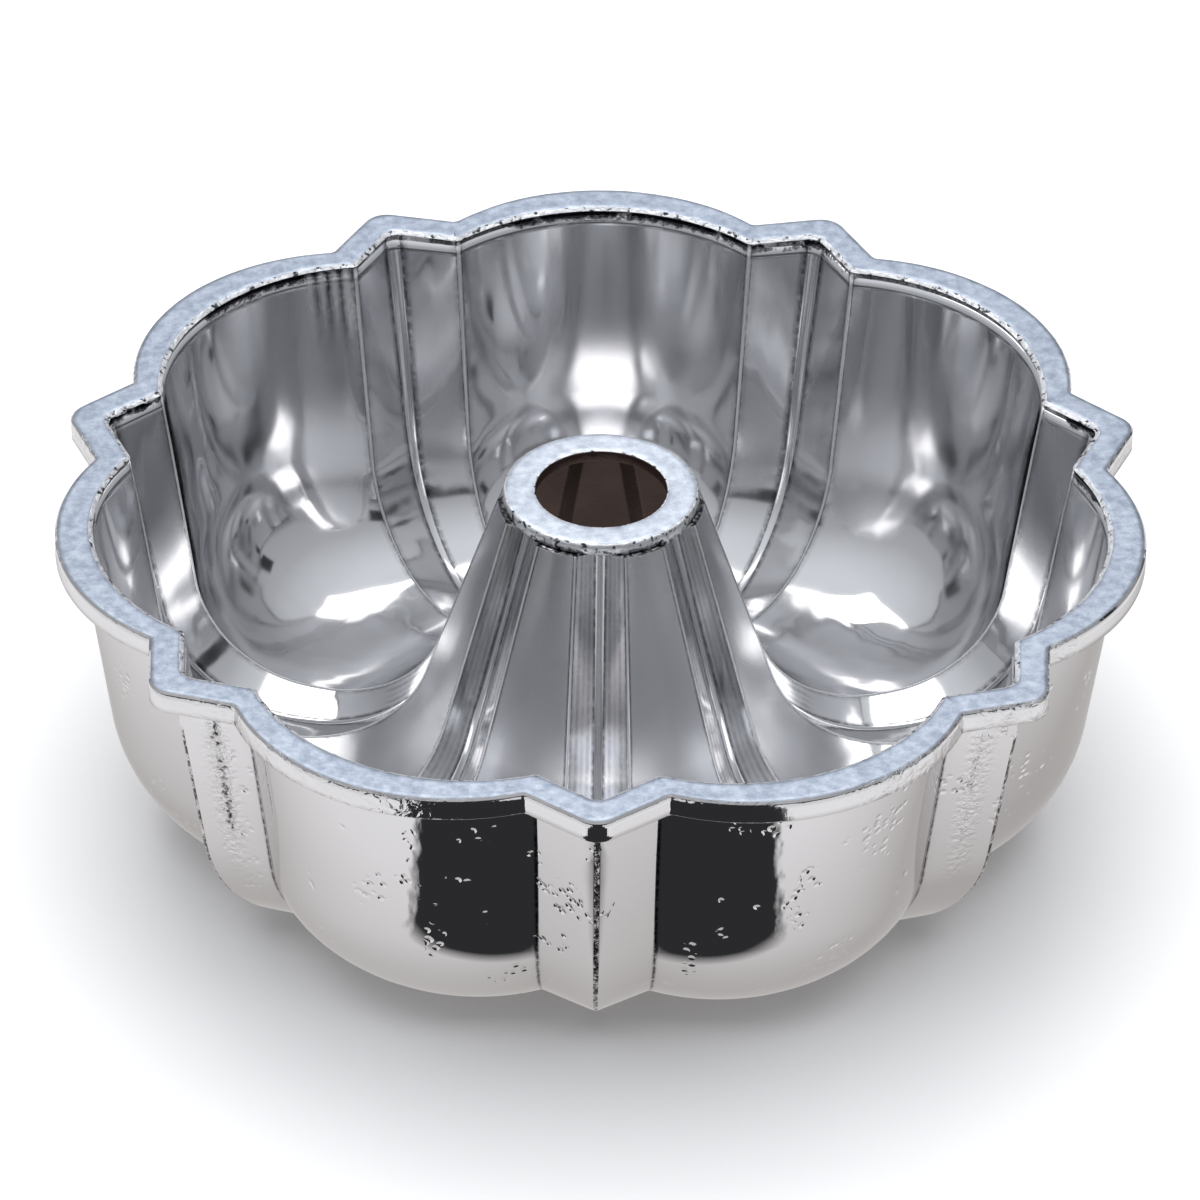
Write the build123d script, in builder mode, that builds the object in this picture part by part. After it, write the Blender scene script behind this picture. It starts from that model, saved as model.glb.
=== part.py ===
"""Cast ring-cake pan with seven scalloped lobes, seven V ridges and an open centre tube.

Frame: millimetres, +Z up along the tube's axis, origin on the resting plane under that axis.
One V ridge points along -Y. The pan is a single casting; it is divided here along its own
edges into the rim, the lobes, the ridges, the tube's facets and grooves, and the tube's ring.
"""

from build123d import *
from dataclasses import dataclass
from math import atan2, cos, hypot, pi, radians, sin, sqrt, tan
import os

os.makedirs("parts", exist_ok=True)

# ---------------------------------------------------------------- driving dimensions
flute_count = 7  # lobes, and V ridges between them
pan_height = 82.5  # resting plane to the ground face of the rim
wall = 3.3  # metal, square to the surface

# rim: the flat flange around the mouth
rim_thickness = 5.8
rim_band = 8.6  # width of the ground face in the middle of a lobe
notch_out = 7.6  # outer notch beyond the inner cusp, along the ridge
notch_aside = 2.6  # and across it
ridge_band = 9.2  # sharp outer corner beyond the inner corner of a ridge
ridge_corner_radius = 6.0
notch_radius = 1.5

# lobes: mouth, wall and bowl
mouth_radius = 117.4  # inside, in the middle of a lobe
lobe_draft = 7.5
cusp_inset = 9.2  # the cusps between lobe and ridge stand this far inside the mouth radius
cusp_draft = 8.1
cusp_lift = 3.0  # crest of the cusp above the floor of the lobe
floor_flat = 2.5  # level strip left between the two rounds of the trough
lobe_heel_share = 1.0  # outer round of the trough over its inner round
cusp_heel_share = 0.85

# V ridges: the two cusps of a ridge run along the lines y = +-(ridge_half_width + flare * x)
ridge_half_width = 3.6  # extrapolated to the tube's axis
ridge_flare = 0.091
ridge_reach = 0.9  # inner corner of the V beyond the mouth radius
ridge_draft = 13.0
ridge_heel_share = 1.0
keel_reach = 3.2  # outer corner of the V beyond the inner one, at the rim
keel_draft = 9.2
keel_floor = 3.5  # metal under the V's floor

# centre tube: fluted outside and inside, with a ring on top
tube_lean = 17.3  # facets, from upright
facet_radius = 22.7  # facet's middle, extrapolated to the rim's plane
facet_bulge = 0.5  # facet's middle beyond its edges
groove_lean = 18.0
groove_inset = 2.9  # bottom of a groove inside the facet's middle, at the rim's plane
groove_wall = 3.8
ring_thickness = 3.0
ring_setback = 1.1  # ring's edge inside the facet's middle, where the two meet
bore_radius = 15.1

# ---------------------------------------------------------------- worked-out values
flute_angle = 360 / flute_count
half_flute = radians(flute_angle / 2)
front_ridge = 270.0  # azimuth of the first ridge, towards -Y

# The two cusp planes of a lobe meet in an upright line, the lobe's pivot. All the lobe's
# upright sections fan about it, from one cusp plane to the other.
ridge_line_angle = atan2(ridge_flare, 1)
fan_angle = half_flute - ridge_line_angle
pivot_radius = ridge_half_width * cos(ridge_line_angle) / sin(fan_angle)


def lobe_point(reach_along_ridge):
    """Cusp point in the lobe's own plan axes: x along the lobe's middle, y across it."""
    across = ridge_half_width + ridge_flare * reach_along_ridge
    x = reach_along_ridge * cos(half_flute) + across * sin(half_flute)
    y = reach_along_ridge * sin(half_flute) - across * cos(half_flute)
    return x, y


@dataclass
class Rail:
    """Upright profile of one face: wall, heel round, level floor, toe round, tube."""

    mouth: float  # distance of the wall's line at the rim's plane
    wall_run: float  # how much that distance shrinks per millimetre of depth
    depth: float  # floor below the rim's plane
    tube: float  # distance of the tube's line at the rim's plane
    tube_run: float  # how much that distance grows per millimetre of depth
    heel: float = 0.0
    toe: float = 0.0

    def rounded(self, heel_share):
        """The same profile with rounds that fill the floor but for the level strip."""
        wall_half = tan((pi / 2 - atan2(self.wall_run, 1)) / 2)
        tube_half = tan((pi / 2 - atan2(self.tube_run, 1)) / 2)
        floor_width = self.wall_at(self.depth) - self.tube_at(self.depth) - floor_flat
        toe = floor_width / (heel_share * wall_half + tube_half)
        return Rail(
            self.mouth, self.wall_run, self.depth, self.tube, self.tube_run, heel_share * toe, toe
        )

    def thickened(self, metal):
        """The parallel profile on the other side of the metal."""
        return Rail(
            self.mouth + metal * hypot(1, self.wall_run),
            self.wall_run,
            self.depth + metal,
            self.tube - metal * hypot(1, self.tube_run),
            self.tube_run,
            self.heel + metal,
            self.toe + metal,
        )

    def floor_middle(self):
        """Middle of the level strip between the two rounds, the lowest line of the trough."""
        heel_end = self.wall_at(self.depth) - self.heel * tan((pi / 2 - atan2(self.wall_run, 1)) / 2)
        return heel_end - floor_flat / 2

    def wall_at(self, depth):
        return self.mouth - self.wall_run * depth

    def tube_at(self, depth):
        return self.tube + self.tube_run * depth


# reach of the three inner edges of the wall, along their own directions, at a depth
def cusp_reach(depth):
    return mouth_radius - cusp_inset - depth * tan(radians(cusp_draft))


def lobe_reach(depth):
    return mouth_radius - depth * tan(radians(lobe_draft))


def ridge_inner_reach(depth):
    return mouth_radius + ridge_reach - depth * tan(radians(ridge_draft))


lobe_depth = pan_height - wall
cusp_depth = lobe_depth - cusp_lift
ridge_depth = pan_height - keel_floor
facet_run = tan(radians(tube_lean))


def lobe_wall_distance(fan, depth):
    """Distance from the pivot to the lobe's wall: a circle through both cusps and the middle."""
    cusp_x, cusp_y = lobe_point(cusp_reach(depth))
    middle = lobe_reach(depth)
    rise = middle - cusp_x
    round_radius = (cusp_y**2 + rise**2) / (2 * rise)
    centre = middle - round_radius - pivot_radius
    return centre * cos(fan) + sqrt(round_radius**2 - (centre * sin(fan)) ** 2)


def lobe_rail(fan):
    """Inner profile of a lobe in the upright plane turned by fan about the pivot."""
    edge = (fan / fan_angle) ** 2  # 0 in the middle of the lobe, 1 at its cusps
    depth = lobe_depth + (cusp_depth - lobe_depth) * edge
    mouth = lobe_wall_distance(fan, 0)
    wall_run = (mouth - lobe_wall_distance(fan, depth)) / depth
    tube = (facet_radius - facet_bulge * edge - pivot_radius) / cos(fan)
    heel_share = lobe_heel_share + (cusp_heel_share - lobe_heel_share) * edge
    return Rail(mouth, wall_run, depth, tube, facet_run / cos(fan)).rounded(heel_share)


ridge_inside = Rail(
    ridge_inner_reach(0),
    tan(radians(ridge_draft)),
    ridge_depth,
    facet_radius - groove_inset,
    tan(radians(groove_lean)),
).rounded(ridge_heel_share)
ridge_outside = Rail(
    ridge_inner_reach(0) + keel_reach,
    tan(radians(keel_draft)),
    pan_height,
    facet_radius - groove_inset - groove_wall,
    tan(radians(groove_lean)),
).rounded(ridge_heel_share)

# the outer shell is divided from the centre tube along the lowest line of the trough
trough_radius = pivot_radius + lobe_rail(0).floor_middle()


# ---------------------------------------------------------------- upright sections
fan_steps = (-1.0, -0.5, 0.0, 0.5, 1.0)  # sections of a lobe, as shares of the fan angle


def upright_plane(azimuth, fan=0.0, pivot=0.0):
    """Plane with x pointing out at azimuth + fan (radians), y up, from the pivot at azimuth."""
    heading = azimuth + fan
    return Plane(
        origin=(pivot * cos(azimuth), pivot * sin(azimuth), pan_height),
        x_dir=(cos(heading), sin(heading), 0),
        z_dir=(sin(heading), -cos(heading), 0),
    )


def casting_section(plane, inside, outside):
    """Cut through the metal on an upright plane: down the inside, and back up the outside."""
    with BuildSketch(plane) as section:
        with BuildLine():
            near = FilletPolyline(
                (inside.wall_at(rim_thickness), -rim_thickness),
                (inside.wall_at(inside.depth), -inside.depth),
                (inside.tube_at(inside.depth), -inside.depth),
                (inside.tube_at(ring_thickness), -ring_thickness),
                radius=(inside.heel, inside.toe),
            )
            far = FilletPolyline(
                (outside.wall_at(rim_thickness), -rim_thickness),
                (outside.wall_at(outside.depth), -outside.depth),
                (outside.tube_at(outside.depth), -outside.depth),
                (outside.tube_at(ring_thickness), -ring_thickness),
                radius=(outside.heel, outside.toe),
            )
            Line(near @ 0, far @ 0)
            Line(near @ 1, far @ 1)
        make_face()
    return section.sketch


def lobe_section(azimuth, fan):
    """Section of the lobe that points along azimuth, turned by fan about its pivot."""
    inside = lobe_rail(fan)
    plane = upright_plane(azimuth, fan, pivot_radius)
    return casting_section(plane, inside, inside.thickened(wall))


def lobe_casting(azimuth):
    """One lobe with its facet of the tube, from the rim round the trough to the ring."""
    with BuildPart() as casting:
        loft([lobe_section(azimuth, step * fan_angle) for step in fan_steps])
    return casting.part


def ridge_casting(azimuth):
    """One V ridge with its groove of the tube, ruled from each cusp plane to the V's corner."""
    with BuildPart() as casting:
        loft(
            [
                lobe_section(azimuth - half_flute, fan_angle),
                casting_section(upright_plane(azimuth), ridge_inside, ridge_outside),
                lobe_section(azimuth + half_flute, -fan_angle),
            ],
            ruled=True,
        )
    return casting.part


def export(part, name):
    part.label = name
    export_step(part, f"parts/{name}.step")


# ---------------------------------------------------------------- lobes and ridges
for number in range(1, flute_count + 1):
    ridge_azimuth = radians(front_ridge + (number - 1) * flute_angle)
    lobe_azimuth = ridge_azimuth + half_flute
    lobe_metal = lobe_casting(lobe_azimuth)
    ridge_metal = ridge_casting(ridge_azimuth)

    with BuildPart() as lobe:
        add(lobe_metal)
        Cylinder(trough_radius, 3 * pan_height, mode=Mode.SUBTRACT)
    export(lobe.part, f"lobe_{number}")

    with BuildPart() as facet:
        add(lobe_metal)
        Cylinder(trough_radius, 3 * pan_height, mode=Mode.INTERSECT)
    export(facet.part, f"tube_facet_{number}")

    with BuildPart() as ridge:
        add(ridge_metal)
        Cylinder(trough_radius, 3 * pan_height, mode=Mode.SUBTRACT)
    export(ridge.part, f"ridge_{number}")

    with BuildPart() as groove:
        add(ridge_metal)
        Cylinder(trough_radius, 3 * pan_height, mode=Mode.INTERSECT)
    export(groove.part, f"tube_groove_{number}")


# ---------------------------------------------------------------- rim flange
def plan_point(along, across, azimuth):
    return (
        along * cos(azimuth) - across * sin(azimuth),
        along * sin(azimuth) + across * cos(azimuth),
    )


def scalloped_face(height, corner, cusp, cusp_across, lobe_middle):
    """Plan face with a V at every ridge and one arc along every lobe."""
    with BuildSketch(Plane.XY.offset(height)) as plan:
        with BuildLine():
            for number in range(flute_count):
                azimuth = radians(front_ridge + number * flute_angle)
                before = plan_point(cusp, -cusp_across, azimuth)
                after = plan_point(cusp, cusp_across, azimuth)
                Line(before, plan_point(corner, 0, azimuth))
                Line(plan_point(corner, 0, azimuth), after)
                ThreePointArc(
                    after,
                    plan_point(lobe_middle, 0, azimuth + half_flute),
                    plan_point(cusp, -cusp_across, azimuth + 2 * half_flute),
                )
        make_face()
    return plan.sketch


def mouth_face(depth):
    """The mouth's plan at a depth below the rim's plane."""
    cusp = cusp_reach(depth)
    across = ridge_half_width + ridge_flare * cusp
    height = pan_height - depth
    return scalloped_face(height, ridge_inner_reach(depth), cusp, across, lobe_reach(depth))


def distance_from_axis(vertex):
    return round(hypot(vertex.X, vertex.Y), 3)


flange_plan = scalloped_face(
    0,
    ridge_inner_reach(0) + ridge_band,
    cusp_reach(0) + notch_out,
    ridge_half_width + ridge_flare * cusp_reach(0) + notch_aside,
    mouth_radius + rim_band,
)

with BuildPart() as rim_flange:
    with BuildSketch(Plane.XY.offset(pan_height - rim_thickness)) as plate:
        add(flange_plan)
        fillet(plate.vertices().group_by(distance_from_axis)[-1], ridge_corner_radius)
        fillet(plate.vertices().group_by(distance_from_axis)[0], notch_radius)
    extrude(amount=rim_thickness)
    loft([mouth_face(0), mouth_face(rim_thickness)], ruled=True, mode=Mode.SUBTRACT)
export(rim_flange.part, "rim_flange")

# ---------------------------------------------------------------- ring on top of the tube
ring_radius = facet_radius + facet_run * ring_thickness - ring_setback

with BuildPart() as tube_ring:
    with BuildSketch(Plane.XY.offset(pan_height - ring_thickness)):
        Circle(ring_radius)
        Circle(bore_radius, mode=Mode.SUBTRACT)
    extrude(amount=ring_thickness)
export(tube_ring.part, "tube_ring")
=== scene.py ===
"""A cast ring-cake pan with scalloped lobes and V ridges, on a pale floor in soft studio light."""

import bpy
import numpy as np
from mathutils import Matrix, Vector


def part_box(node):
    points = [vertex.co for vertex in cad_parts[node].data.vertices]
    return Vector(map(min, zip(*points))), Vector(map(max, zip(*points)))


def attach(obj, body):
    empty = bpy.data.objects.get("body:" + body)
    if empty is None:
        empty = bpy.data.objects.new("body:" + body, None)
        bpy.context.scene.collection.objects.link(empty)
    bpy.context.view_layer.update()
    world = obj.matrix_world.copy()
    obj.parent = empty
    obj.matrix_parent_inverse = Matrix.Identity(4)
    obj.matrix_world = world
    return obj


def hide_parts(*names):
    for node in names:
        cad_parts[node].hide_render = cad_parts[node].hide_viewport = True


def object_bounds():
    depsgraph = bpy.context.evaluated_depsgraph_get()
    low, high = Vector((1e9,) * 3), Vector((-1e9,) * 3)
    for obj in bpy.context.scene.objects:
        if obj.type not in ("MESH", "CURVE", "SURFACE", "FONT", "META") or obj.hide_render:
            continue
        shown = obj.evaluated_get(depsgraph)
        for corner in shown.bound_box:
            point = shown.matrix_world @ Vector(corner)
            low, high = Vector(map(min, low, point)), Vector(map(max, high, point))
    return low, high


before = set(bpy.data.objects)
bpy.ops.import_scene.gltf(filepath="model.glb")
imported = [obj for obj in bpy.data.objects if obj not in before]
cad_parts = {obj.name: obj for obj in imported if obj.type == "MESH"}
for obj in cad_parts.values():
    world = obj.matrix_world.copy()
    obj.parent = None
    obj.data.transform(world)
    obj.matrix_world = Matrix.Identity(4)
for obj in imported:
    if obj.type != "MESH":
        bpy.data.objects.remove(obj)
cad_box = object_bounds()


# ------------------------------------------------------------------------------ the bowl
# The body of the pan: lobes, V ridges and fluted centre tube, one aluminium casting poured
# in a sand mould and then polished to a mirror on every face that shows. Its corners are
# rounded by the polishing wheel. The inside of the tube is left as it came from the mould.

MM = 0.001  # one millimetre in metres; the pan's sizes are in millimetres
FLUTES = 7
HALF = np.pi / FLUTES  # half of one flute's turn
FRONT = -np.pi / 2  # azimuth of the ridge at the front
TOP = cad_box[1][2] / MM  # height of the rim's ground face
WALL = 3.3  # thickness of the metal

MOUTH = 117.4  # inside, in the middle of a lobe
RIM_THICKNESS = (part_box("rim_flange")[1][2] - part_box("rim_flange")[0][2]) / MM
LOBE_RUN = np.tan(np.radians(7.5))  # a run is how far a wall comes in for each step down
LOBE_DEPTH = TOP - WALL
CUSP_MOUTH = MOUTH - 9.2
CUSP_RUN = np.tan(np.radians(8.1))
CUSP_DEPTH = LOBE_DEPTH - 3.0
CUSP_HEEL = 0.85  # outer round of the trough over its inner round, at a cusp
STRIP = 2.5  # level strip between the two rounds

RIDGE_HALF_WIDTH = 3.6
RIDGE_FLARE = 0.091
RIDGE_MOUTH = MOUTH + 0.9
RIDGE_RUN = np.tan(np.radians(13.0))
RIDGE_DEPTH = TOP - 3.5
KEEL_MOUTH = RIDGE_MOUTH + 3.2
KEEL_RUN = np.tan(np.radians(9.2))

FACET = 22.7  # middle of a tube facet, extrapolated to the rim's plane
FACET_BULGE = 0.5
FACET_RUN = np.tan(np.radians(17.3))
GROOVE = FACET - 2.9
GROOVE_RUN = np.tan(np.radians(18.0))
GROOVE_WALL = 3.8
RING_THICKNESS = (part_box("tube_ring")[1][2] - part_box("tube_ring")[0][2]) / MM

FAN = HALF - np.arctan(RIDGE_FLARE)
PIVOT = RIDGE_HALF_WIDTH * np.cos(np.arctan(RIDGE_FLARE)) / np.sin(FAN)

BEAD = 0.30  # height of the polished bead along each inner cusp
BEAD_FADE_ROWS = 3  # the bead rises to its height over these rows below the mouth
BEVEL = 0.9  # bright broken edge between the rim's face and the polished wall
TUCKED = 0.8  # how far the bowl's outer face runs up into the flange
CUSP_ROUND, VALLEY_ROUND = 1.8, 3.6  # rounds of the inner corners
OUTER_CUSP_ROUND, KEEL_ROUND = 1.5, 1.3  # rounds of the outer corners


def lobe_wall(fan, depth):
    """Distance from the lobe's pivot to its wall: a circle through both cusps and the middle."""
    reach = CUSP_MOUTH - CUSP_RUN * depth
    across = RIDGE_HALF_WIDTH + RIDGE_FLARE * reach
    cusp_x = reach * np.cos(HALF) + across * np.sin(HALF)
    cusp_y = reach * np.sin(HALF) - across * np.cos(HALF)
    middle = MOUTH - LOBE_RUN * depth
    rise = middle - cusp_x
    radius = (cusp_y**2 + rise**2) / (2 * rise)
    centre = middle - radius - PIVOT
    return centre * np.cos(fan) + np.sqrt(radius**2 - (centre * np.sin(fan)) ** 2)


def rail(mouth, wall_run, depth, tube, tube_run, heel_share):
    """Wall, floor and tube lines of one upright profile, with rounds that fill its floor."""
    wall_half = np.tan((np.pi / 2 - np.arctan(wall_run)) / 2)
    tube_half = np.tan((np.pi / 2 - np.arctan(tube_run)) / 2)
    floor = mouth - wall_run * depth - tube - tube_run * depth - STRIP
    toe = floor / (heel_share * wall_half + tube_half)
    return dict(
        mouth=mouth, wall_run=wall_run, depth=depth, tube=tube, tube_run=tube_run,
        heel=heel_share * toe, toe=toe,
    )


def lobe_rail(fan):
    """Inner profile of a lobe at each angle of its fan."""
    edge = (fan / FAN) ** 2
    depth = LOBE_DEPTH + (CUSP_DEPTH - LOBE_DEPTH) * edge
    mouth = lobe_wall(fan, 0)
    wall_run = (mouth - lobe_wall(fan, depth)) / depth
    tube = (FACET - FACET_BULGE * edge - PIVOT) / np.cos(fan)
    return rail(mouth, wall_run, depth, tube, FACET_RUN / np.cos(fan), 1 + (CUSP_HEEL - 1) * edge)


def thickened(profile, metal):
    """The parallel profile on the other side of the metal."""
    return dict(
        profile,
        mouth=profile["mouth"] + metal * np.hypot(1, profile["wall_run"]),
        depth=profile["depth"] + metal,
        tube=profile["tube"] - metal * np.hypot(1, profile["tube_run"]),
        heel=profile["heel"] + metal,
        toe=profile["toe"] + metal,
    )


WALL_ROWS, HEEL_ROWS, TOE_ROWS, TUBE_ROWS = 13, 20, 17, 12
LAST_ROW_GAP = 0.12  # between the last two rows


def along(profile, start, end):
    """Points down the wall from depth start, round the trough and up the tube to depth end.

    Rows are evenly spaced on each straight and evenly turned on each round, and the last two
    lie close together, so that shading stays crisp there. Returns the distance from the
    upright line and the depth, as (rows, fans) arrays.
    """
    wall, tube = np.arctan(profile["wall_run"]), np.arctan(profile["tube_run"])
    depth, heel, toe = profile["depth"], profile["heel"], profile["toe"]
    heel_x = profile["mouth"] - profile["wall_run"] * depth - heel * np.tan((np.pi / 2 - wall) / 2)
    toe_x = profile["tube"] + profile["tube_run"] * depth + toe * np.tan((np.pi / 2 - tube) / 2)
    one = np.ones_like(depth + heel)

    turn = np.linspace(0, 1, HEEL_ROWS)[:, None]
    angle = wall + (np.pi / 2 - wall) * turn
    heel_arc = heel_x + heel * np.cos(angle), depth - heel + heel * np.sin(angle)
    turn = np.linspace(0, 1, TOE_ROWS)[:, None]
    angle = np.pi / 2 + (np.pi / 2 - tube) * turn
    toe_arc = toe_x + toe * np.cos(angle), depth - toe + toe * np.sin(angle)

    step = np.linspace(0, 1, WALL_ROWS, endpoint=False)[:, None]
    down = start + (heel_arc[1][:1] - start) * step
    step = np.append(np.linspace(0, 1, TUBE_ROWS)[1:], [1.0])[:, None]
    up = toe_arc[1][-1:] + (end - toe_arc[1][-1:]) * step
    up[-2] += LAST_ROW_GAP
    x = np.vstack([
        (profile["mouth"] - profile["wall_run"] * down) * one, heel_arc[0], toe_arc[0],
        (profile["tube"] + profile["tube_run"] * up) * one,
    ])
    return x, np.vstack([down * one, heel_arc[1], toe_arc[1], up * one])


def unit(vectors):
    """The vectors divided by their lengths."""
    return vectors / np.linalg.norm(vectors, axis=-1, keepdims=True)


def corner_arc(corner, back, ahead, radius, count, bead=0.0):
    """Points of the arc of that radius that rounds a corner between two unit directions.

    A bead stands proud along the middle of the arc: its height falls off as a bell curve,
    and it fades in over the first rows.
    """
    half = np.arccos(np.clip((back * ahead).sum(-1, keepdims=True), -1, 1)) / 2
    centre = corner + unit(back + ahead) * radius / np.sin(half)
    step = np.linspace(-1, 1, count)[:, None]
    turn = (np.pi / 2 - half)[:, None] * step
    outward, side = unit(corner - centre)[:, None], unit(ahead - back)[:, None]
    risen = np.minimum(np.arange(len(corner)) / BEAD_FADE_ROWS, 1)[:, None, None]
    proud = bead * risen * np.exp(-((step / 0.38) ** 2))
    return centre[:, None] + (radius + proud) * (outward * np.cos(turn) + side * np.sin(turn))


LOBE_COLUMNS, CUSP_COLUMNS, FLANK_COLUMNS, RIDGE_COLUMNS = 25, 15, 7, 15  # the last for a whole ridge
HALF_RIDGE_COLUMNS = RIDGE_COLUMNS // 2 + 1


def half_scallop(lobe_face, keel, cusp_radius, keel_radius, bead=0.0):
    """Half a flute, from the middle of a lobe to the middle of a ridge, with corners rounded.

    In the lobe's own axes: x along its middle, y across it. lobe_face gives (rows, n, 3)
    points at n shares of the way to the cusp, keel the (rows, 3) points of the ridge's
    corner. Arcs of the two radii round the cusp and the ridge's corner, row by row.
    """
    nudge = 0.0005  # share of the lobe over which its slope at the cusp is taken
    edge = lobe_face(np.array([1 - nudge, 1.0]))
    cusp, along_lobe = edge[:, 1], edge[:, 0] - edge[:, 1]
    back, ahead = unit(along_lobe), unit(keel - cusp)
    half = np.arccos((back * ahead).sum(-1)) / 2
    taken = cusp_radius / np.tan(half) * nudge / np.linalg.norm(along_lobe, axis=-1)

    fine = 160
    grid = lobe_face(np.linspace(0, 1, fine + 1))
    wanted = np.linspace(0, fine, LOBE_COLUMNS, endpoint=False) * (1 - taken)[:, None]
    low = wanted.astype(int)
    part = (wanted - low)[..., None]
    row = np.arange(len(grid))[:, None]
    lobe = grid[row, low] * (1 - part) + grid[row, low + 1] * part

    cusp_arc = corner_arc(cusp, back, ahead, cusp_radius, CUSP_COLUMNS, bead)
    across = np.array([np.sin(HALF), -np.cos(HALF), 0])
    other = -ahead + 2 * (ahead * across).sum(-1, keepdims=True) * across
    ridge_arc = corner_arc(keel, -ahead, other, keel_radius, RIDGE_COLUMNS)[:, :HALF_RIDGE_COLUMNS]
    step = np.linspace(0, 1, FLANK_COLUMNS + 2)[1:-1, None]
    flank = cusp_arc[:, -1:] * (1 - step) + ridge_arc[:, :1] * step
    return np.concatenate([lobe, cusp_arc, flank, ridge_arc], 1)


def whole_ring(half):
    """Seven flutes from a half one: mirrored about the lobe's middle, then turned round."""
    mirrored = half[:, :0:-1] * np.array([1, -1, 1])
    flute = np.concatenate([mirrored[:, 1:], half], 1)
    turned = []
    for number in range(FLUTES):
        angle = FRONT + HALF + 2 * HALF * number
        spin = np.array([
            [np.cos(angle), np.sin(angle), 0], [-np.sin(angle), np.cos(angle), 0], [0, 0, 1],
        ])
        turned.append(flute @ spin)
    return np.concatenate(turned, 1)


def bowl_face(metal, start, end, cusp_radius, keel_radius):
    """One face of the casting: the inner one, or the outer one that metal parts from it.

    Each lobe is its profile fanned about the lobe's pivot, and each ridge is ruled from the
    lobe's edge to the profile of the ridge's corner.
    """
    bead = 0 if metal else BEAD

    def lobe_face(share):
        """The lobe's profiles at these shares of the way to its cusp, in the lobe's axes."""
        fan = share * FAN
        profile = lobe_rail(fan)
        profile = thickened(profile, metal) if metal else profile
        x, depth = along(profile, start, end)
        return np.stack([PIVOT + x * np.cos(fan), x * np.sin(fan), TOP - depth], -1)

    ridge = rail(RIDGE_MOUTH, RIDGE_RUN, RIDGE_DEPTH, GROOVE, GROOVE_RUN, 1.0)
    keel = rail(KEEL_MOUTH, KEEL_RUN, TOP, GROOVE - GROOVE_WALL, GROOVE_RUN, 1.0)
    profile = {name: np.array([value]) for name, value in (keel if metal else ridge).items()}
    x, depth = along(profile, start, end)
    corner = np.stack([x * np.cos(HALF), x * np.sin(HALF), TOP - depth], -1)[:, 0]
    return whole_ring(half_scallop(lobe_face, corner, cusp_radius, keel_radius, bead))


def closed_mesh(name, grid, row_slots, materials):
    """A mesh from a grid that closes on itself both ways; each row of faces has a slot."""
    rows, columns = grid.shape[:2]
    index = np.arange(rows * columns).reshape(rows, columns)
    below, right = np.roll(index, -1, 0), np.roll(index, -1, 1)
    quads = np.stack([index, right, np.roll(below, -1, 1), below], -1).reshape(-1, 4)
    points = grid.reshape(-1, 3) * MM
    a, b, c = (points[quads[:, i]] for i in (0, 1, 2))
    if (np.cross(b - a, c - a) * a).sum() < 0:
        quads = quads[:, ::-1]
    mesh = bpy.data.meshes.new(name)
    mesh.from_pydata(points, [], quads)
    mesh.polygons.foreach_set("material_index", np.repeat(row_slots, columns).astype(np.int32))
    mesh.shade_smooth()
    for material in materials:
        mesh.materials.append(material)
    piece = bpy.data.objects.new(name, mesh)
    bpy.context.collection.objects.link(piece)
    return piece


def linear(hex_colour):
    """Linear RGBA from an sRGB hex value."""
    srgb = np.array([int(hex_colour[i : i + 2], 16) for i in (1, 3, 5)]) / 255
    rgb = np.where(srgb <= 0.04045, srgb / 12.92, ((srgb + 0.055) / 1.055) ** 2.4)
    return (*rgb.tolist(), 1.0)


def add(tree, kind, links=None, **settings):
    """Adds a node, sets its own properties or input values by name, and links its inputs."""
    node = tree.nodes.new(kind)
    for name, value in settings.items():
        if name[0].islower():
            setattr(node, name, value)
        else:
            node.inputs[name.replace("_", " ")].default_value = value
    for name, source in (links or {}).items():
        tree.links.new(source, node.inputs[name])
    return node


def blank_material(name):
    """A new material with an empty node tree, and the tree."""
    material = bpy.data.materials.new(name)
    material.use_nodes = True
    material.node_tree.nodes.clear()
    return material, material.node_tree


# Aluminium, cast and polished bright with a flap wheel worked up and down the walls: a soft
# mirror with long upright waves, fine drag lines in patches, and pits and torn metal close
# under the rim, where the wheel can't reach. Shade is painted dark into its corners, beside the
# beads and along the ridges' edges, a painted highlight runs white and dull along each bead,
# and the tube's facets are finished satin.
polished_inside, tree = blank_material("aluminium_flap_polished")
place = add(tree, "ShaderNodeTexCoord")
upright = add(tree, "ShaderNodeMapping", {"Vector": place.outputs["Object"]}, Scale=(1, 1, 0.09))
waves = add(
    tree, "ShaderNodeTexNoise", {"Vector": upright.outputs["Vector"]},
    Scale=1 / (10 * MM), Detail=1.0,
)
drag = add(
    tree, "ShaderNodeTexNoise", {"Vector": upright.outputs["Vector"]},
    Scale=1 / (2.2 * MM), Detail=1.0,
)
patches = add(
    tree, "ShaderNodeTexNoise", {"Vector": place.outputs["Object"]},
    Scale=1 / (24 * MM), Detail=2.0,
)
worked = add(
    tree, "ShaderNodeMapRange", {"Value": patches.outputs["Fac"]},
    From_Min=0.52, From_Max=0.66,
)
level = add(tree, "ShaderNodeSeparateXYZ", {"Vector": place.outputs["Object"]})
near_rim = add(
    tree, "ShaderNodeMapRange", {"Value": level.outputs["Z"]},
    From_Min=(TOP - 6.0) * MM, From_Max=(TOP - 1.2) * MM, To_Max=1.12,
)
torn = add(
    tree, "ShaderNodeTexNoise", {"Vector": place.outputs["Object"]},
    Scale=1 / (1.5 * MM), Detail=3.0, Roughness=0.6,
)
patchy = add(tree, "ShaderNodeMapRange", {"Value": patches.outputs["Fac"]}, From_Min=0.40, From_Max=0.58)
reach = add(
    tree, "ShaderNodeMath", {0: near_rim.outputs["Result"], 1: patchy.outputs["Result"]},
    operation="MULTIPLY",
)
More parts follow.
